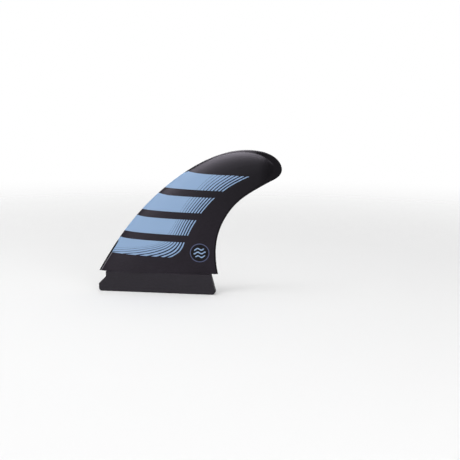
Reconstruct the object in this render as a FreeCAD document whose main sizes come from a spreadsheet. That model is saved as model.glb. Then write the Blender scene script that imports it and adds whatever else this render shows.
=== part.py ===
"""Surfboard side fin: one raked, foiled blade moulded in one piece with the tab that drops into the fin box.

Frame: +X aft, +Y towards the flat inner face, +Z up the span from the board's surface.
The origin is on the board's surface, midway along the base chord and midway through the tab.
All sizes are in millimetres.
"""
import FreeCAD, Part
import os
import Sketcher
from FreeCAD import Placement, Rotation, Vector

# Driving sizes: alias, value and what it is
SIZES = (
    ("base_chord", 113.0, "length of the blade where it meets the board"),
    ("blade_height", 116.4, "height of the blade, measured along the blade"),
    ("tip_sweep", 59.9, "how far the top of the outline is carried aft of the base"),
    ("cant_angle", 6.5, "lean of the blade towards its outer side, degrees"),
    ("root_thickness", 7.2, "thickest point of the foil at the board"),
    ("rim_thickness", 1.5, "thickness of the blade's thin rim"),
    ("rim_round", 0.6, "radius of the rim's outer corner"),
    ("rim_width", 1.2, "rim left outside the foil's crown"),
    ("rim_step", 0.08, "small step where the crown rises from the rim"),
    ("bevel_width", 2.4, "width of the bevel round the flat inner face"),
    ("bevel_depth", 0.5, "depth of the same bevel"),
    ("root_allowance", 3.0, "blade carried below the board line before it is cut level"),
    ("tab_length", 111.0, "tab's overall length, at its lower half"),
    ("tab_depth", 18.5, "tab's depth below the board line"),
    ("tab_thickness", 6.9, "tab's thickness"),
    ("toe_length", 7.0, "how far the toe reaches ahead of the tab's neck"),
    ("toe_drop", 4.5, "depth of the neck above the sloping screw seat"),
    ("seat_angle", 45.0, "slope of the screw seat, degrees"),
    ("heel_angle", 15.0, "undercut of the tab's rear end, degrees"),
    ("tab_corner", 3.0, "radius of the tab's two lower corners"),
    ("tab_chamfer", 0.5, "chamfer along the tab's long lower edges"),
)

# The outline's curves, each by its control points as shares of the base chord and of the height.
# The sweep then moves each point aft in proportion to its height.
LEADING_EDGE = ((0.000, 0.000), (0.025, 0.322), (0.166, 0.732), (0.502, 1.000), (0.731, 1.000))
TRAILING_EDGE = ((1.034, 0.755), (0.902, 0.654), (0.803, 0.555), (0.821, 0.249), (1.000, 0.000))
TIP_CORNERS = ((0.937, 1.000), (1.160, 0.820))
TIP_LEAD = 0.161

# Stations of the foil's crown, fanned out from below the board line to the tip.
# Each has its front end, its rear end and its share of the root's crown.
STATIONS = (
    ((-0.002, -0.030), (1.072, -0.100), 1.06),
    ((0.010, 0.110), (1.019, -0.026), 0.96),
    ((0.033, 0.249), (0.966, 0.050), 0.86),
    ((0.063, 0.375), (0.912, 0.137), 0.77),
    ((0.104, 0.495), (0.871, 0.223), 0.67),
    ((0.166, 0.621), (0.838, 0.319), 0.59),
    ((0.253, 0.748), (0.825, 0.425), 0.50),
    ((0.361, 0.860), (0.838, 0.529), 0.43),
    ((0.497, 0.947), (0.877, 0.612), 0.37),
    ((0.624, 0.985), (0.922, 0.669), 0.33),
    ((0.753, 0.990), (0.968, 0.720), 0.28),
    ((0.832, 0.976), (0.994, 0.752), 0.23),
    ((0.904, 0.952), (1.011, 0.781), 0.16),
    ((0.952, 0.925), (1.020, 0.801), 0.09),
    ((0.989, 0.899), (1.027, 0.818), 0.01),
)
# The crown's section, before and after its highest point, by control points: shares of its width and height
CREST = (0.358, 1.024)
CROWN_FRONT = ((0.019, 0.285), (0.130, 0.871), (0.275, 1.024))
CROWN_REAR = ((0.452, 1.024), (0.667, 0.834), (0.889, 0.248))

# The line that the stations are fanned about; each one's angle comes from its two ends
FAN_AXIS = Vector(0, 1, 0)
# The numbers that a sketch gives to a curve's points, and to its own origin
POINTS = {"start": 1, "end": 2, "centre": 3}
ORIGIN = (-1, 1)
# How near a point has to be to count as lying on a plane
TOUCH = 1e-4

doc = FreeCAD.newDocument("surfboard_fin")


def make_sheet():
    """The spreadsheet of driving sizes."""
    sheet = doc.addObject("Spreadsheet::Sheet", "sizes")
    for row, (alias, number, meaning) in enumerate(SIZES, start=1):
        sheet.set(f"A{row}", alias)
        sheet.set(f"B{row}", str(number))
        sheet.set(f"C{row}", meaning)
        sheet.setAlias(f"B{row}", alias)
    doc.recompute()
    return sheet


sheet = make_sheet()


def size(text):
    """The number that an expression gives now."""
    return float(sheet.evalExpression(text))


def origin_plane(body, role):
    return next(plane for plane in body.Origin.OriginFeatures if plane.Role == role)


def new_sketch(body, name, role):
    """An empty sketch on one of the body's own origin planes."""
    sketch = body.newObject("Sketcher::SketchObject", name)
    sketch.AttachmentSupport = [(origin_plane(body, role), "")]
    sketch.MapMode = "FlatFace"
    return sketch


def hold(sketch, curve, point, place):
    """Ties a point of the sketch to two expressions, measured from the sketch's origin."""
    for kind, text in zip(("DistanceX", "DistanceY"), place):
        rule = Sketcher.Constraint(kind, *ORIGIN, curve, point, size(text))
        sketch.setExpression(f"Constraints[{sketch.addConstraint(rule)}]", text)


def draw_spline(sketch, places):
    """A cubic curve by its control points; the last one is left to the curve that follows."""
    poles = [Vector(size(x), size(y), 0) for x, y in places]
    spline = Part.BSplineCurve()
    spline.buildFromPoles(poles, False, 3)
    curve = sketch.addGeometry(spline)
    marks = [sketch.addGeometry(Part.Circle(pole, Vector(0, 0, 1), 1.0), True) for pole in poles]
    for number, mark in enumerate(marks):
        rule = ("InternalAlignment:Sketcher::BSplineControlPoint", mark, POINTS["centre"], curve, number)
        sketch.addConstraint(Sketcher.Constraint(*rule))
        if number == 0:
            sketch.addConstraint(Sketcher.Constraint("Weight", mark, 1.0))
        else:
            sketch.addConstraint(Sketcher.Constraint("Equal", marks[0], mark))
        if number < len(marks) - 1:
            hold(sketch, mark, POINTS["centre"], places[number])
    return curve


def draw_line(sketch, places):
    """A straight run; its far end is left to the curve that follows."""
    curve = sketch.addGeometry(Part.LineSegment(*(Vector(size(x), size(y), 0) for x, y in places)))
    hold(sketch, curve, POINTS["start"], places[0])
    return curve


def draw_loop(sketch, runs):
    """A closed outline from runs of points: two points are a line, more are a curve."""
    curves = [draw_line(sketch, run) if len(run) == 2 else draw_spline(sketch, run) for run in runs]
    for curve, following in zip(curves, curves[1:] + curves[:1]):
        rule = ("Coincident", curve, POINTS["end"], following, POINTS["start"])
        sketch.addConstraint(Sketcher.Constraint(*rule))


def polygon(corners):
    """The straight runs of a closed figure."""
    return list(zip(corners, corners[1:] + corners[:1]))


def outline_place(share):
    """Where a share of the base chord and of the height lies, as two expressions."""
    along, up = share
    aft = f"({along - 0.5:.4f} * sizes.base_chord + {up:.4f} * sizes.tip_sweep)"
    return aft, f"({up:.4f} * sizes.blade_height)"


def beyond(end, inner, lead):
    """The share that carries on past end, in line with inner."""
    return tuple(there + lead * (there - here) for here, there in zip(inner, end))


def root_place(edge_end, edge_next):
    """Where an edge's line, carried on below the base, meets the bottom of the allowance."""
    x_end, _ = outline_place(edge_end)
    x_next, z_next = outline_place(edge_next)
    return f"{x_end} + ({x_end} - {x_next}) * sizes.root_allowance / {z_next}", "-sizes.root_allowance"


def draw_outline(sketch):
    """The blade's outline: leading edge, tip, trailing edge and the root below the board line."""
    lead_in = beyond(TRAILING_EDGE[0], TRAILING_EDGE[1], TIP_LEAD)
    tip = (LEADING_EDGE[-1], *TIP_CORNERS, lead_in, TRAILING_EDGE[0])
    front = root_place(LEADING_EDGE[0], LEADING_EDGE[1])
    rear = root_place(TRAILING_EDGE[-1], TRAILING_EDGE[-2])
    edges = [[outline_place(share) for share in run] for run in (LEADING_EDGE, tip, TRAILING_EDGE)]
    draw_loop(sketch, [(front, edges[0][0]), *edges, (edges[2][-1], rear), (rear, front)])


def rim_edges(shape, depth):
    """The names of the edges round the rim at a depth from the flat inner face, root left out."""
    root = size("sizes.root_allowance")
    names = []
    for number, edge in enumerate(shape.Edges, start=1):
        points = edge.discretize(5)
        at_depth = all(abs(point.y + depth) < TOUCH for point in points)
        at_root = all(abs(point.z + root) < TOUCH for point in points)
        if at_depth and not at_root:
            names.append(f"Edge{number}")
    return names


def add_plate(body):
    """The thin plate that shows as the blade's rim, its outer corner rounded and its inner one bevelled."""
    outline = new_sketch(body, "outline", "XZ_Plane")
    draw_outline(outline)
    plate = body.newObject("PartDesign::Pad", "plate")
    plate.Profile = outline
    plate.setExpression("Length", "sizes.rim_thickness")
    doc.recompute()
    rounding = body.newObject("PartDesign::Fillet", "rim_rounding")
    rounding.Base = (plate, rim_edges(plate.Shape, size("sizes.rim_thickness")))
    rounding.setExpression("Radius", "sizes.rim_round")
    doc.recompute()
    bevel = body.newObject("PartDesign::Chamfer", "inner_bevel")
    bevel.Base = (rounding, rim_edges(rounding.Shape, 0))
    bevel.ChamferType = "Two distances"
    bevel.setExpression("Size", "sizes.bevel_depth")
    bevel.setExpression("Size2", "sizes.bevel_width")
    doc.recompute()


def add_section(body, number, front, rear, fullness):
    """One section of the crown, which has its foot in the plate and rises from it by a small step."""
    sketch = new_sketch(body, f"section_{number}", "XY_Plane")
    x_front, z_front = outline_place(front)
    x_rear, z_rear = outline_place(rear)
    sketch.AttachmentOffset = Placement(Vector(), Rotation(FAN_AXIS, 1.0))
    sketch.setExpression("AttachmentOffset.Base.x", x_front)
    sketch.setExpression("AttachmentOffset.Base.z", z_front)
    fan_angle = f"atan2({z_front} - {z_rear}; {x_rear} - {x_front})"
    sketch.setExpression("AttachmentOffset.Rotation.Angle", fan_angle)
    span = f"(sqrt(({x_rear} - {x_front})^2 + ({z_rear} - {z_front})^2) - 2 * sizes.rim_width)"
    step = "(sizes.rim_thickness + sizes.rim_step)"
    crown = f"({fullness} * (sizes.root_thickness - {step}))"
    nose, tail = "sizes.rim_width", f"({span} + sizes.rim_width)"
    edge, foot = f"-{step}", "-sizes.rim_thickness / 2"

    def skin(shares):
        return [(f"{nose} + {along} * {span}", f"-({step} + {up} * {crown})") for along, up in shares]

    front_skin = [(nose, edge), *skin([*CROWN_FRONT, CREST])]
    rear_skin = [*skin([CREST, *CROWN_REAR]), (tail, edge)]
    walls = polygon([(tail, edge), (tail, foot), (nose, foot), (nose, edge)])[:3]
    draw_loop(sketch, [front_skin, rear_skin, *walls])
    return sketch


def add_crown(body):
    """The foil's crown, lofted through its sections on the plate's outer side."""
    sections = [add_section(body, number, *station) for number, station in enumerate(STATIONS)]
    crown = body.newObject("PartDesign::AdditiveLoft", "crown")
    crown.Profile = sections[0]
    crown.Sections = sections[1:]
    doc.recompute()


def make_blade():
    """The blade, upright on the line where its inner face meets the board."""
    body = doc.addObject("PartDesign::Body", "blade")
    add_plate(body)
    add_crown(body)
    return body


def tab_edges(shape, along_width):
    """The names of the tab's lower edges: those across its width at both ends, or those along its length."""
    bottom = -size("sizes.tab_depth")
    names = []
    for number, edge in enumerate(shape.Edges, start=1):
        low = all(abs(vertex.Z - bottom) < TOUCH for vertex in edge.Vertexes)
        across = abs(edge.Vertexes[0].X - edge.Vertexes[-1].X) < TOUCH
        if low and across == along_width:
            names.append(f"Edge{number}")
    return names


def make_tab():
    """The tab below the board line: sloping screw seat in front, undercut heel behind."""
    body = doc.addObject("PartDesign::Body", "tab")
    profile = new_sketch(body, "tab_profile", "XZ_Plane")
    toe, heel = "-sizes.tab_length / 2", "sizes.tab_length / 2"
    neck = f"({toe} + sizes.toe_length)"
    seat_foot = "-(sizes.toe_drop + sizes.toe_length * tan(sizes.seat_angle))"
    heel_top = f"({heel} - sizes.tab_depth * tan(sizes.heel_angle))"
    bottom = "-sizes.tab_depth"
    front = [(neck, "0"), (neck, "-sizes.toe_drop"), (toe, seat_foot), (toe, bottom)]
    draw_loop(profile, polygon([*front, (heel, bottom), (heel_top, "0")]))
    slab = body.newObject("PartDesign::Pad", "tab_slab")
    slab.Profile = profile
    slab.SideType = "Symmetric"
    slab.setExpression("Length", "sizes.tab_thickness")
    doc.recompute()
    corner = body.newObject("PartDesign::Fillet", "tab_corners")
    corner.Base = (slab, tab_edges(slab.Shape, True))
    corner.setExpression("Radius", "sizes.tab_corner")
    doc.recompute()
    chamfer = body.newObject("PartDesign::Chamfer", "tab_lead_in")
    chamfer.Base = (corner, tab_edges(corner.Shape, False))
    chamfer.setExpression("Size", "sizes.tab_chamfer")
    doc.recompute()
    return body


def make_fin(blade, tab):
    """The moulding: the blade leant over and cut level with the board, joined to its tab."""
    blade.setExpression("Placement.Base.y", "sizes.tab_thickness / 2")
    blade.Placement = Placement(blade.Placement.Base, Rotation(Vector(1, 0, 0), size("sizes.cant_angle")))
    blade.setExpression("Placement.Rotation.Angle", "sizes.cant_angle")
    below = doc.addObject("Part::Box", "below_board")
    reach = "(sizes.base_chord + sizes.blade_height)"
    for side in ("Length", "Width", "Height"):
        below.setExpression(side, f"2 * {reach}")
    for axis, start in (("x", f"-{reach}"), ("y", f"-{reach}"), ("z", f"-2 * {reach}")):
        below.setExpression(f"Placement.Base.{axis}", start)
    level = doc.addObject("Part::Cut", "level_blade")
    level.Base = blade
    level.Tool = below
    fin = doc.addObject("Part::Fuse", "fin")
    fin.Base = level
    fin.Tool = tab
    fin.Refine = True
    doc.recompute()
    return fin


def check_objects():
    """Stops if any object failed to compute."""
    failed = [item.Label for item in doc.Objects if "Invalid" in item.State or "Error" in item.State]
    if failed:
        raise RuntimeError(f"these objects failed: {failed}")


def write_parts(parts):
    """Writes each sub-part to a file named by its label."""
    for part in parts:
        if part.Shape.isNull() or not part.Shape.isValid() or len(part.Shape.Solids) != 1:
            raise RuntimeError(f"{part.Label} isn't one sound solid")
    os.makedirs("parts", exist_ok=True)
    for part in parts:
        part.Shape.exportStep(f"parts/{part.Label}.step")


fin = make_fin(make_blade(), make_tab())
doc.recompute()
check_objects()
write_parts([fin])
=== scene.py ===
import math

import bmesh
import bpy
from bpy.props import FloatProperty, FloatVectorProperty, IntProperty, PointerProperty
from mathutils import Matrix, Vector


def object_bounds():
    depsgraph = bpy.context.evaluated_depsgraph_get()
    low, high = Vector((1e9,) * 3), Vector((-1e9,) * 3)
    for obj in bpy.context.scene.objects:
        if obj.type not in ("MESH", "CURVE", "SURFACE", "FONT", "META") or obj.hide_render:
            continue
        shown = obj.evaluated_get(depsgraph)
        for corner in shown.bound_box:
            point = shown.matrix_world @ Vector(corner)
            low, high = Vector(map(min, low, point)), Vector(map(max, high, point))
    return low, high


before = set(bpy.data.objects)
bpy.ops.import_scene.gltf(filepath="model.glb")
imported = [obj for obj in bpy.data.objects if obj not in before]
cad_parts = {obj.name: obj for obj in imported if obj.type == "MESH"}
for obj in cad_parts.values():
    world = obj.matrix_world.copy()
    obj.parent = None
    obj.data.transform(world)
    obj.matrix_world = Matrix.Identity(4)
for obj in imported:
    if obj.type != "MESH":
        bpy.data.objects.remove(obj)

bl_info = {
    "name": "Surfboard side fin",
    "version": (1, 0, 0),
    "blender": (4, 5, 0),
    "location": "3D View > Sidebar > Side fin",
    "description": "Finishes a moulded surfboard side fin and sets up its studio",
    "category": "Object",
}

CAD_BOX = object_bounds()
MM = 0.001

# The kinds of node that are used most
MATH, MIX, RANGE = "ShaderNodeMath", "ShaderNodeMix", "ShaderNodeMapRange"
NOISE, MAPPING, VECTOR = "ShaderNodeTexNoise", "ShaderNodeMapping", "ShaderNodeVectorMath"


def linear(code):
    """An sRGB hex colour as linear red, green and blue."""
    values = [int(code[start:start + 2], 16) / 255 for start in (1, 3, 5)]
    return tuple(v / 12.92 if v <= 0.04045 else ((v + 0.055) / 1.055) ** 2.4 for v in values)


def colour_property(name, description, code):
    """A colour that a user may change, from its hex code."""
    return FloatVectorProperty(
        name=name, description=description, subtype="COLOR", size=3, min=0.0, max=1.0, default=linear(code)
    )


def length_property(name, description, millimetres):
    """A length that a user may change, from its millimetres."""
    return FloatProperty(
        name=name, description=description, unit="LENGTH", precision=4, min=0.0, default=millimetres * MM
    )


class FinLook(bpy.types.PropertyGroup):
    body: colour_property("Moulding", "Satin black of the fibre-filled moulding", "#19151B")
    # Tip: painted shade, the deeper black that the blade's colour darkens to towards its tip
    tip: colour_property("Tip", "Deeper black where the blade thins to resin", "#040406")
    # Painted highlight: a pale line where the crown rises from the rim, standing in for light caught on its
    # edge
    painted_highlight: colour_property("Lip", "Paler line where the crown rises from the rim", "#77737A")
    rim: colour_property("Rim", "Clear dark resin round the foil", "#020203")
    tab: colour_property("Tab", "Matt tab below the blade", "#161418")
    print_blue: colour_property("Print", "Pale blue of the printed bands", "#8AA7C9")
    print_gap: colour_property("Print gaps", "Navy that shows between the hairlines", "#0C1428")
    mark_ground: colour_property("Mark ground", "Black disc that the round mark is printed on", "#030304")
    mark_ring: colour_property("Mark ring", "Dull blue of the round mark's ring", "#4D5470")
    mark_wave: colour_property("Mark waves", "Blue of the round mark's waves", "#8FAACC")
    first_band: length_property("First band", "Height of the lowest band's lower edge", 16.62)
    band_pitch: length_property("Band pitch", "From one band to the next", 21.6)
    band_height: length_property("Band height", "Height of each band", 14.93)
    hairlines: IntProperty(
        name="Hairlines", description="Hairlines at each band's aft end", default=8, min=1
    )
    mark_radius: length_property("Mark radius", "Outer radius of the round mark", 8.9)


class StudioLook(bpy.types.PropertyGroup):
    floor: colour_property("Floor", "Colour of the studio floor", "#FAFAFA")
    fade_start: length_property("Fade start", "Where the floor starts to fade into the background", 220)
    fade_end: length_property("Fade end", "Where the floor has faded into the background", 1000)
    room_light: FloatProperty(
        name="Room light", description="Strength of the room's even light", default=0.55
    )
    lens: FloatProperty(
        name="Lens", description="Focal length of the camera", unit="CAMERA", default=84.52
    )


def add(tree, kind, inputs=(), **settings):
    """Adds a node with its settings, and gives its inputs values or other nodes' first outputs."""
    node = tree.nodes.new(kind)
    for name, value in settings.items():
        setattr(node, name, value)
    live = [socket for socket in node.inputs if socket.enabled]
    named = {socket.name: socket for socket in reversed(live)}
    for key, value in inputs.items() if isinstance(inputs, dict) else enumerate(inputs):
        socket = named[key] if isinstance(key, str) else live[key]
        if isinstance(value, bpy.types.Node):
            value = next(out for out in value.outputs if out.enabled)
        if isinstance(value, bpy.types.NodeSocket):
            tree.links.new(value, socket)
        else:
            socket.default_value = value
    return node


def new_material(name):
    """A material with an empty tree."""
    material = bpy.data.materials.new(name)
    material.use_nodes = True
    material.node_tree.nodes.clear()
    return material, material.node_tree


# Points on curves over the blade's height, in mm, each with the range that its values lie in: where the
# last hairline runs, how far apart the hairlines are there, and how much that grows with each line forward
LAST_LINE = (
    (16.2, 6.7), (16.9, 13.6), (18.2, 16.1), (20.0, 18.9), (23.0, 22.5), (27.0, 25.1),
    (31.5, 27.0), (38.2, 30.2), (46.0, 34.2), (53.5, 38.8), (59.9, 43.0), (67.5, 49.0),
    (75.3, 56.3), (81.4, 63.5), (86.0, 69.4), (91.5, 78.3), (96.8, 88.4),
)
LAST_LINE_RANGE = (0.0, 100.0)
LINE_SPACING = (
    (16.2, 0.7), (17.2, 4.5), (19.0, 3.9), (23.0, 3.2), (27.0, 2.85), (31.5, 2.45),
    (38.2, 2.4), (53.5, 2.8), (59.9, 2.7), (75.3, 2.95), (81.4, 3.25), (89.0, 3.9), (96.8, 4.85),
)
SPACING_RANGE = (0.0, 10.0)
SPACING_GROWTH = (
    (16.2, 1.55), (17.2, 0.87), (19.0, 0.69), (23.0, 0.39), (27.0, 0.12), (31.5, 0.02),
    (38.2, -0.01), (53.5, -0.07), (59.9, -0.035), (75.3, -0.025), (81.4, -0.03), (96.8, -0.095),
)
GROWTH_RANGE = (-0.4, 1.6)
# Height that the hairlines' curves are drawn over, in mm
PRINT_TOP = 100.0
# Number of bands, and the fall of their edges towards the trailing edge, in mm for each mm
BANDS = 4
BAND_FALL = 0.042
# Depth in mm where the bands' upper edges start to bend up towards the rim of the leading edge, and how
# far they rise at that rim, in mm for each band from the foot up
BEND_DEPTH, BEND_RISE = -3.8, 0.38
# Share of the spacing that the last hairline fills; each line before it fills more, up to a solid field
LINE_FILL = 0.44


def curve_over(tree, height, top, points, span):
    """A value that follows points of height and value, from 0 to the top, with its values in the span."""
    low, high = span
    share = add(tree, MATH, (height, top), operation="DIVIDE")
    node = add(tree, "ShaderNodeFloatCurve", {"Value": share})
    line = node.mapping.curves[0]
    places = [(at / top, (value - low) / (high - low)) for at, value in points]
    line.points[0].location = places[0]
    line.points[1].location = places[-1]
    for place in places[1:-1]:
        line.points.new(*place)
    node.mapping.extend = "HORIZONTAL"
    node.mapping.update()
    return add(tree, MATH, (node, high - low, low), operation="MULTIPLY_ADD")


def band_masks(tree, look, along, up, bend):
    """Two masks: the bands with all that lies between their hairlines, and their blue alone.

    The bend is 1 at the rim of the leading edge and 0 away from it.
    """
    level = add(tree, MATH, (along, BAND_FALL, up), operation="MULTIPLY_ADD")
    first = add(tree, MATH, (level, look.first_band / MM), operation="SUBTRACT")
    turn = add(tree, MATH, (first, look.band_pitch / MM), operation="DIVIDE")
    phase = add(tree, MATH, (turn,), operation="FRACT")
    bend = add(tree, MATH, (bend, turn), operation="MULTIPLY")
    bent = add(tree, MATH, (bend, -BEND_RISE * MM / look.band_pitch, phase), operation="MULTIPLY_ADD")
    band = add(tree, MATH, (bent, look.band_height / look.band_pitch), operation="LESS_THAN")
    lowest = add(tree, MATH, (turn, 0.0), operation="GREATER_THAN")
    highest = add(tree, MATH, (turn, float(BANDS)), operation="LESS_THAN")

    last = curve_over(tree, level, PRINT_TOP, LAST_LINE, LAST_LINE_RANGE)
    spacing = curve_over(tree, level, PRINT_TOP, LINE_SPACING, SPACING_RANGE)
    growth = curve_over(tree, level, PRINT_TOP, SPACING_GROWTH, GROWTH_RANGE)
    ahead = add(tree, MATH, (last, along), operation="SUBTRACT")
    # Line n lies where ahead = spacing * n + growth * n * n, which is solved for n:
    # n = 2 * ahead / (spacing + sqrt(spacing * spacing + 4 * growth * ahead))
    product = add(tree, MATH, (growth, ahead), operation="MULTIPLY")
    square = add(tree, MATH, (spacing, spacing), operation="MULTIPLY")
    inner = add(tree, MATH, (product, 4.0, square), operation="MULTIPLY_ADD")
    inner = add(tree, MATH, (inner, 0.0), operation="MAXIMUM")
    root = add(tree, MATH, (inner,), operation="SQRT")
    divisor = add(tree, MATH, (spacing, root), operation="ADD")
    twice = add(tree, MATH, (ahead, 2.0), operation="MULTIPLY")
    number = add(tree, MATH, (twice, divisor), operation="DIVIDE")

    whole = add(tree, MATH, (number,), operation="FLOOR")
    part = add(tree, MATH, (number,), operation="FRACT")
    gain = (1 - LINE_FILL) / look.hairlines
    fill = add(tree, MATH, (whole, gain, LINE_FILL), operation="MULTIPLY_ADD")
    blue = add(tree, MATH, (part, fill), operation="LESS_THAN")
    field = add(tree, MATH, (number, 0.0), operation="GREATER_THAN")
    for limit in (band, lowest, highest):
        field = add(tree, MATH, (field, limit), operation="MULTIPLY")
    return field, add(tree, MATH, (field, blue), operation="MULTIPLY")


# The round mark's centre on the blade and the width of its ring, in mm
MARK_ALONG, MARK_UP = 40.4, 20.5
RING_WIDTH = 0.85
# The waves in it, in mm: radius that they fill, step from one to the next, half their width, how far
# they rise and fall, and their length
WAVE_REACH, WAVE_STEP, WAVE_HALF = 5.5, 3.5, 0.6
WAVE_RISE, WAVE_LENGTH = 0.8, 6.6


def mark_masks(tree, look, along, up):
    """The round mark near the trailing edge: masks for its disc, its ring and its plain waves."""
    aside = add(tree, MATH, (along, MARK_ALONG), operation="SUBTRACT")
    over = add(tree, MATH, (up, MARK_UP), operation="SUBTRACT")
    place = add(tree, "ShaderNodeCombineXYZ", (aside, over))
    radius = add(tree, VECTOR, (place,), operation="LENGTH")
    middle = look.mark_radius / MM - RING_WIDTH / 2
    ring = add(tree, MATH, (radius, middle, RING_WIDTH / 2), operation="COMPARE")
    turn = add(tree, MATH, (aside, math.tau / WAVE_LENGTH), operation="MULTIPLY")
    swell = add(tree, MATH, (turn,), operation="SINE")
    offset = add(tree, MATH, (swell, WAVE_RISE, over), operation="MULTIPLY_ADD")
    offset = add(tree, MATH, (offset, WAVE_STEP / 2), operation="PINGPONG")
    wave = add(tree, MATH, (offset, WAVE_HALF), operation="LESS_THAN")
    near = add(tree, MATH, (radius, WAVE_REACH), operation="LESS_THAN")
    disc = add(tree, MATH, (radius, middle), operation="LESS_THAN")
    return disc, ring, add(tree, MATH, (wave, near), operation="MULTIPLY")


# The blade's own frame: it leans out about its foot, which is the tab's inner edge
BLADE_FOOT = (0.0, 3.45 * MM, 0.0)
BLADE_CANT = math.radians(6.5)
# Depths in mm, counted from the flat inner face: where that face's finish ends, and where the crown starts
INNER_DEPTH = 0.7
CROWN_DEPTH = 1.60
# Height in mm that the tab's finish reaches up to
TAB_TOP = 0.4
# The line halfway between the two edges: how far it leans aft for each mm up, and its foot in mm
HALFWAY_RAKE, HALFWAY_FOOT = 0.88, -6.0
# Height that the curves along the leading edge are drawn over, in mm
BLADE_TOP = 120.0
# How far the bare rim rises into the crown along the leading edge, at heights up the blade, in mm; the
# finish of the crown wraps over the rim where this is below zero
RIM_RISE = (
    (0.0, 0.3), (24.0, 0.3), (32.0, -0.5), (40.0, -0.9), (93.0, -0.8), (97.0, 0.0), (107.0, 0.0),
    (110.0, -0.2), (120.0, -0.2),
)
RISE_RANGE = (-1.0, 1.0)
# The pale line where the crown starts, a painted highlight: its strength at heights up the blade, its height
# in mm, and where it fades out towards the tip, along the blade in mm
PAINTED_HIGHLIGHT_SHARE = ((0.0, 1.0), (24.0, 1.0), (28.0, 0.0), (105.0, 0.0), (111.0, 0.5), (120.0, 0.5))
SHARE_RANGE = (0.0, 1.0)
PAINTED_HIGHLIGHT_HEIGHT = 0.35
HIGHLIGHT_FADE_START, HIGHLIGHT_FADE_END = 78.0, 95.0
# Where the crown runs out into the rim at the tip, along the blade in mm
RUNOUT_START, RUNOUT_END = 94.0, 107.0
# Where the colour darkens towards the tip as painted shade and the roughness rises, as distance along the
# blade plus height, in mm
TIPWARD_START, TIPWARD_END = 60.0, 190.0


def zone_masks(tree, along, depth, up):
    """Masks for the leading half, the crown, all that has its satin finish, the pale painted highlight and
    the tab.
    """
    halfway = add(tree, MATH, (up, HALFWAY_RAKE, HALFWAY_FOOT), operation="MULTIPLY_ADD")
    leading = add(tree, MATH, (along, halfway), operation="LESS_THAN")
    rim_rise = curve_over(tree, up, BLADE_TOP, RIM_RISE, RISE_RANGE)
    rise = add(tree, MATH, (leading, rim_rise, depth), operation="MULTIPLY_ADD")
    crown = add(tree, MATH, (rise, -CROWN_DEPTH), operation="LESS_THAN")
    inner = add(tree, MATH, (depth, -INNER_DEPTH), operation="GREATER_THAN")
    runout = add(
        tree, RANGE,
        {"Value": along, "From Min": RUNOUT_START, "From Max": RUNOUT_END, "To Min": 1.0, "To Max": 0.0},
        interpolation_type="SMOOTHSTEP",
    )
    face = add(tree, MATH, (crown, runout), operation="MULTIPLY")
    face = add(tree, MATH, (face, inner), operation="MAXIMUM")

    # The pale line is a painted highlight along the crown's foot at the leading edge and along the top near
    # the tip
    painted_highlight = curve_over(tree, up, BLADE_TOP, PAINTED_HIGHLIGHT_SHARE, SHARE_RANGE)
    low = add(tree, MATH, (rise, -CROWN_DEPTH - PAINTED_HIGHLIGHT_HEIGHT), operation="GREATER_THAN")
    fading = add(
        tree, RANGE,
        {"Value": along, "From Min": HIGHLIGHT_FADE_START, "From Max": HIGHLIGHT_FADE_END, "To Min": 1.0, "To Max": 0.0},
    )
    for limit in (leading, low, crown, fading):
        painted_highlight = add(tree, MATH, (painted_highlight, limit), operation="MULTIPLY")
    tab = add(tree, MATH, (up, TAB_TOP), operation="LESS_THAN")
    return leading, crown, face, painted_highlight, tab


# The range of a noise's values that a tone is drawn from
NOISE_LOW, NOISE_HIGH = 0.3, 0.7
# The fibres' lay, turned from fore and aft, and their repeats for each mm along and across: some mm long
# and about 0.5 mm across, drawn coarser than real ones so that they show
FIBRE_TURN = math.radians(32)
FIBRE_REPEATS = (0.3, 1.8, 1.8)
# Repeats for each mm of the resin's clouds, some 17 mm wide, and of the moulded grain, some 0.4 mm
CLOUD_REPEATS, GRAIN_REPEATS = 0.06, 2.5
# How dark and how light fibres and clouds make the colour, and how far the grain moves the roughness
FIBRE_TONE, CLOUD_TONE, WEAR = (0.7, 1.35), (0.9, 1.1), (-0.04, 0.04)
# The grain's relief: strength, and depth in mm
RELIEF_STRENGTH, RELIEF_DEPTH = 0.5, 0.03
# How satin each zone is
FACE_ROUGH, TIP_ROUGH, RIM_ROUGH, TAB_ROUGH, PRINT_ROUGH = 0.37, 0.42, 0.24, 0.85, 0.58
# The resin's gloss: refraction, strength and tint
RESIN_IOR, RESIN_GLOSS, RESIN_TINT = 1.5, 0.12, (0.94, 0.87, 1.0, 1.0)


def toned(tree, noise, tone):
    """A noise spread between a tone's two ends."""
    ends = {"From Min": NOISE_LOW, "From Max": NOISE_HIGH, "To Min": tone[0], "To Max": tone[1]}
    return add(tree, RANGE, {"Value": noise, **ends})


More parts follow.
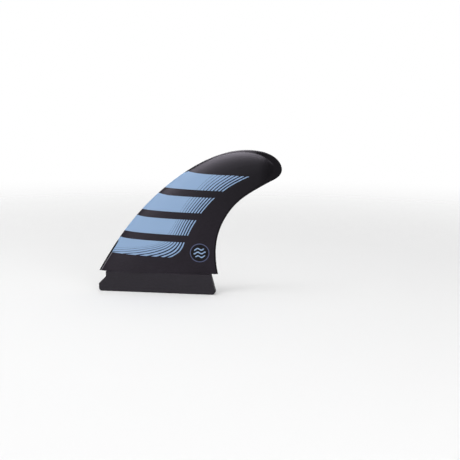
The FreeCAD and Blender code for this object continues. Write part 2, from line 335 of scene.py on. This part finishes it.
def moulded_composite(look):
    """Satin moulded composite: near-black resin with short fibres in it, printed pale blue on its crown.

    To the eye it is a soft charcoal with a broad dull highlight along the leading edge, a colour that
    darkens towards the tip as painted shade, a darker and glossier rim of bare resin with a thin pale line
    beside it that is a painted highlight, and a matt tab. The matt print wraps over the leading edge.
    """
    material, tree = new_material("moulded_fibre_composite")
    place = add(tree, "ShaderNodeTexCoord").outputs["Object"]
    blade = add(
        tree, MAPPING,
        {"Vector": place, "Location": BLADE_FOOT, "Rotation": (BLADE_CANT, 0.0, 0.0), "Scale": (MM, MM, MM)},
        vector_type="TEXTURE",
    )
    along, depth, up = add(tree, "ShaderNodeSeparateXYZ", (blade,)).outputs
    leading, crown, face, painted_highlight, tab = zone_masks(tree, along, depth, up)
    reach = add(tree, MATH, (along, up), operation="ADD")
    toward_tip = add(
        tree, RANGE, {"Value": reach, "From Min": TIPWARD_START, "From Max": TIPWARD_END},
        interpolation_type="SMOOTHSTEP",
    )

    turned = {"Vector": blade, "Rotation": (0.0, FIBRE_TURN, 0.0), "Scale": FIBRE_REPEATS}
    lay = add(tree, MAPPING, turned)
    fibre = add(tree, NOISE, {"Vector": lay, "Scale": 1.0, "Detail": 3.0, "Roughness": 0.6})
    cloud = add(tree, NOISE, {"Vector": blade, "Scale": CLOUD_REPEATS, "Detail": 2.0})
    grain = add(tree, NOISE, {"Vector": blade, "Scale": GRAIN_REPEATS, "Detail": 2.0, "Roughness": 0.7})
    tones = (toned(tree, fibre, FIBRE_TONE), toned(tree, cloud, CLOUD_TONE))
    shade = add(tree, MATH, tones, operation="MULTIPLY")

    # The colour darkens towards the tip: painted shade
    ends = {"A": (*look.body, 1.0), "B": (*look.tip, 1.0)}
    colour = add(tree, MIX, {"Factor": toward_tip, **ends}, data_type="RGBA")
    colour = add(tree, MIX, {"Factor": face, "A": (*look.rim, 1.0), "B": colour}, data_type="RGBA")
    # Painted highlight: the pale line where the crown starts
    colour = add(tree, MIX, {"Factor": painted_highlight, "A": colour, "B": (*look.painted_highlight, 1.0)}, data_type="RGBA")
    colour = add(tree, MIX, {"Factor": tab, "A": colour, "B": (*look.tab, 1.0)}, data_type="RGBA")
    colour = add(tree, VECTOR, {0: colour, "Scale": shade}, operation="SCALE")

    bend = add(tree, RANGE, {"Value": depth, "From Min": BEND_DEPTH, "From Max": -CROWN_DEPTH})
    bend = add(tree, MATH, (bend, leading), operation="MULTIPLY")
    field, blue = band_masks(tree, look, along, up, bend)
    disc, ring, wave = mark_masks(tree, look, along, up)
    inks = (
        (field, look.print_gap), (blue, look.print_blue), (disc, look.mark_ground), (ring, look.mark_ring),
        (wave, look.mark_wave),
    )
    for mask, ink in inks:
        printed = add(tree, MATH, (mask, crown), operation="MULTIPLY")
        colour = add(tree, MIX, {"Factor": printed, "A": colour, "B": (*ink, 1.0)}, data_type="RGBA")

    rough = add(tree, MIX, {"Factor": toward_tip, "A": FACE_ROUGH, "B": TIP_ROUGH}, data_type="FLOAT")
    rough = add(tree, MIX, {"Factor": face, "A": RIM_ROUGH, "B": rough}, data_type="FLOAT")
    rough = add(tree, MIX, {"Factor": tab, "A": rough, "B": TAB_ROUGH}, data_type="FLOAT")
    inked = add(tree, MATH, (blue, crown), operation="MULTIPLY")
    rough = add(tree, MIX, {"Factor": inked, "A": rough, "B": PRINT_ROUGH}, data_type="FLOAT")
    rough = add(tree, MATH, (rough, toned(tree, grain, WEAR)), operation="ADD")

    relief = add(
        tree, "ShaderNodeBump", {"Strength": RELIEF_STRENGTH, "Distance": RELIEF_DEPTH * MM, "Height": grain}
    )
    shader = add(
        tree, "ShaderNodeBsdfPrincipled",
        {"Base Color": colour, "Roughness": rough, "Normal": relief, "IOR": RESIN_IOR,
         "Specular IOR Level": RESIN_GLOSS, "Specular Tint": RESIN_TINT},
    )
    add(tree, "ShaderNodeOutputMaterial", {"Surface": shader})
    return material


class FIN_OT_finish(bpy.types.Operator):
    """Gives the fin its moulded composite with the printed bands and the round mark"""

    bl_idname = "side_fin.finish"
    bl_label = "Finish the fin"

    def execute(self, context):
        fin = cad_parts["fin"]
        material = moulded_composite(context.scene.fin_look)
        fin.data.materials.clear()
        fin.data.materials.append(material)
        return {"FINISHED"}


def studio_floor(look):
    """Matt painted panel: a plain pale floor that takes a soft shadow and fades into the background."""
    material, tree = new_material("painted_floor")
    place = add(tree, "ShaderNodeTexCoord").outputs["Object"]
    reach = add(tree, VECTOR, (place,), operation="LENGTH")
    fade = add(
        tree, RANGE, {"Value": reach, "From Min": look.fade_start, "From Max": look.fade_end},
        interpolation_type="SMOOTHSTEP",
    )
    paint = add(tree, "ShaderNodeBsdfDiffuse", {"Color": (*look.floor, 1.0)})
    clear = add(tree, "ShaderNodeBsdfTransparent")
    mixed = add(tree, "ShaderNodeMixShader", (fade, paint, clear))
    add(tree, "ShaderNodeOutputMaterial", {"Surface": mixed})
    return material


def studio_world(look):
    """Even room light, and plain white where the camera, a reflection or a clear part sees the room."""
    world = bpy.data.worlds.new("studio_room")
    world.use_nodes = True
    tree = world.node_tree
    tree.nodes.clear()
    path = add(tree, "ShaderNodeLightPath")
    seen = path.outputs["Is Camera Ray"]
    for ray in ("Is Glossy Ray", "Is Transmission Ray"):
        seen = add(tree, MATH, (seen, path.outputs[ray]), operation="MAXIMUM")
    strength = add(tree, MIX, {"Factor": seen, "A": look.room_light, "B": 1.0}, data_type="FLOAT")
    light = add(tree, "ShaderNodeBackground", {"Color": (1.0, 1.0, 1.0, 1.0), "Strength": strength})
    add(tree, "ShaderNodeOutputWorld", {"Surface": light})
    return world


# How far the floor reaches past the end of its fade, as a factor, and the number of its sides
FLOOR_MARGIN, FLOOR_SIDES = 1.1, 96
# Softboxes: name, place in metres, width, height, power in watts, and whether only gloss shows it
SOFTBOXES = (
    ("overhead_softbox", (-0.35, -0.25, 1.15), 0.80, 0.60, 6.5, False),
    ("front_softbox", (0.80, -1.05, 0.30), 0.80, 0.60, 5.0, False),
    ("gloss_card_front", (-0.25, -1.0, 0.74), 0.80, 1.30, 120.0, True),
    ("gloss_card_rear", (0.10, 1.15, 0.45), 1.30, 0.90, 24.0, True),
)
# The point that they face, in metres
SOFTBOX_TARGET = Vector((0.03, 0.0, 0.06))
# The camera's place in metres, its turn, and its sensor's width in mm
CAMERA_PLACE = (0.23964, -0.95315, 0.19507)
CAMERA_TURN = (math.radians(81.0), 0.0, math.radians(10.196))
SENSOR_WIDTH = 36.0


class FIN_OT_stage(bpy.types.Operator):
    """Builds the studio: a pale floor, even room light, two softboxes, two gloss cards and the camera"""

    bl_idname = "side_fin.stage"
    bl_label = "Build the studio"

    def execute(self, context):
        look = context.scene.studio_look
        mesh = bpy.data.meshes.new("studio_floor")
        build = bmesh.new()
        radius = look.fade_end * FLOOR_MARGIN
        bmesh.ops.create_circle(build, cap_ends=True, segments=FLOOR_SIDES, radius=radius)
        bmesh.ops.translate(build, verts=build.verts, vec=(0.0, 0.0, CAD_BOX[0][2]))
        build.to_mesh(mesh)
        build.free()
        floor = bpy.data.objects.new("studio_floor", mesh)
        context.scene.collection.objects.link(floor)
        mesh.materials.append(studio_floor(look))

        for name, place, width, height, power, gloss_only in SOFTBOXES:
            lamp = bpy.data.lights.new(name, "AREA")
            lamp.shape = "RECTANGLE"
            lamp.size, lamp.size_y, lamp.energy = width, height, power
            holder = bpy.data.objects.new(name, lamp)
            holder.location = place
            aim = SOFTBOX_TARGET - Vector(place)
            holder.rotation_euler = aim.to_track_quat("-Z", "Y").to_euler()
            holder.visible_diffuse = not gloss_only
            context.scene.collection.objects.link(holder)

        context.scene.world = studio_world(look)
        context.scene.view_settings.view_transform = "Standard"

        lens = bpy.data.cameras.new("photo_camera")
        lens.sensor_width, lens.lens = SENSOR_WIDTH, look.lens
        camera = bpy.data.objects.new("photo_camera", lens)
        camera.location, camera.rotation_euler = CAMERA_PLACE, CAMERA_TURN
        context.scene.collection.objects.link(camera)
        context.scene.camera = camera
        return {"FINISHED"}


class FIN_PT_panel(bpy.types.Panel):
    bl_idname = "FIN_PT_panel"
    bl_label = "Side fin"
    bl_space_type = "VIEW_3D"
    bl_region_type = "UI"
    bl_category = "Side fin"

    def draw(self, context):
        for operator, look in (("side_fin.finish", "fin_look"), ("side_fin.stage", "studio_look")):
            box = self.layout.box()
            box.operator(operator)
            group = getattr(context.scene, look)
            for name in group.bl_rna.properties.keys():
                if name not in ("rna_type", "name"):
                    box.prop(group, name)


CLASSES = (FinLook, StudioLook, FIN_OT_finish, FIN_OT_stage, FIN_PT_panel)


def register():
    for item in CLASSES:
        bpy.utils.register_class(item)
    bpy.types.Scene.fin_look = PointerProperty(type=FinLook)
    bpy.types.Scene.studio_look = PointerProperty(type=StudioLook)


def unregister():
    del bpy.types.Scene.studio_look
    del bpy.types.Scene.fin_look
    for item in reversed(CLASSES):
        bpy.utils.unregister_class(item)


def main():
    register()
    bpy.ops.side_fin.finish()
    bpy.ops.side_fin.stage()


if __name__ == "__main__":
    main()
